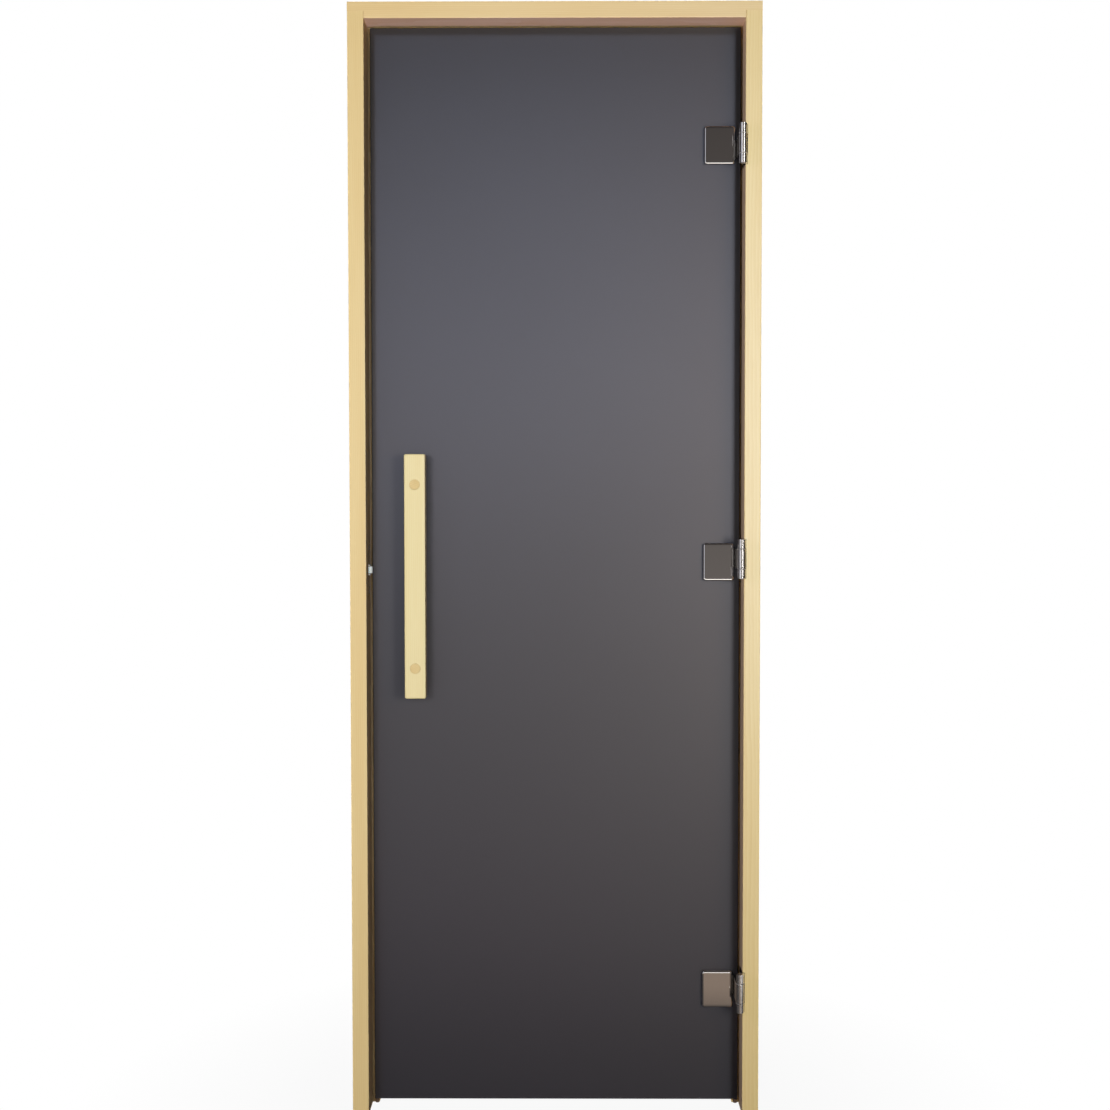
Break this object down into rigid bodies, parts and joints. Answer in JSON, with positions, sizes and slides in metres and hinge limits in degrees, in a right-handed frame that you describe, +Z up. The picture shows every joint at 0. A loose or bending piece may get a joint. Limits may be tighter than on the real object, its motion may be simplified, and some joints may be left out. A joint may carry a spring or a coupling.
{
  "type": "sauna door",
  "caption": "Satin glass sauna door leaf on knuckle hinges in a pale wooden frame with no sill, with wooden bar handles on both faces and a sprung roller catch in the latch jamb.",
  "frame": {"origin": "on the outer side face of the hinge jamb, at its foot, half way through the frame's depth", "axes": "+X out of the hinge jamb's side, so the doorway runs to -X; -Y towards the pull side that the leaf opens to; +Z up"},
  "size_m": [0.7, 0.1136, 1.9],
  "materials": {
    "frame_wood": "planed and sanded, untreated",
    "handle_wood": "sanded, untreated",
    "plug_wood": "sanded end grain",
    "satin_glass": "toughened dark grey glass with a satin etched face",
    "polished_steel": "mirror polished",
    "catch_steel": "bright nickel plated",
    "screw_steel": "stainless",
    "seal_rubber": "matte brown silicone",
    "clear_gasket": "translucent silicone",
    "white_nylon": "smooth moulded"
  },
  "bodies": {
    "frame": {"hinge_jamb": "frame_wood", "latch_jamb": "frame_wood", "head_rail": "frame_wood", "hinge_side_seal": "seal_rubber", "latch_side_seal": "seal_rubber", "head_seal": "seal_rubber", "hinge_leaf_screws": "screw_steel", "catch_face_plate": "catch_steel", "catch_housing": "catch_steel", "catch_screws": "screw_steel", "upper_jamb_leaf": "polished_steel", "upper_hinge_pin": "polished_steel", "upper_hinge_washers": "polished_steel", "middle_jamb_leaf": "polished_steel", "middle_hinge_pin": "polished_steel", "middle_hinge_washers": "polished_steel", "lower_jamb_leaf": "polished_steel", "lower_hinge_pin": "polished_steel", "lower_hinge_washers": "polished_steel"},
    "door_leaf": {"glass_panel": "satin_glass", "outer_handle": "handle_wood", "inner_handle": "handle_wood", "handle_spacers": "handle_wood", "handle_gaskets": "clear_gasket", "handle_bolts": "screw_steel", "outer_handle_plugs": "plug_wood", "inner_handle_plugs": "plug_wood", "upper_glass_leaf": "polished_steel", "upper_front_cover": "polished_steel", "upper_rear_plate": "polished_steel", "upper_clamp_gaskets": "clear_gasket", "upper_clamp_screws": "screw_steel", "middle_glass_leaf": "polished_steel", "middle_front_cover": "polished_steel", "middle_rear_plate": "polished_steel", "middle_clamp_gaskets": "clear_gasket", "middle_clamp_screws": "screw_steel", "lower_glass_leaf": "polished_steel", "lower_front_cover": "polished_steel", "lower_rear_plate": "polished_steel", "lower_clamp_gaskets": "clear_gasket", "lower_clamp_screws": "screw_steel"},
    "catch_carriage": {"catch_carrier": "catch_steel", "catch_axle": "screw_steel"},
    "catch_wheel": {"catch_roller": "white_nylon"}
  },
  "joints": [
    {"name": "door_hinge", "type": "hinge", "parent": "frame", "child": "door_leaf", "pos_m": [-0.033, -0.043, 0.95], "axis": [0, 0, 1], "range_deg": [0, 180]},
    {"name": "catch_slide", "type": "slide", "parent": "frame", "child": "catch_carriage", "axis": [-1, 0, 0], "range_m": [0, 0.005], "stiffness_N_per_m": 800, "springref_m": -0.005},
    {"name": "roller_spin", "type": "hinge", "parent": "catch_carriage", "child": "catch_wheel", "pos_m": [-0.672, 0.005, 0.94], "axis": [0, 0, 1], "continuous": true}
  ]
}
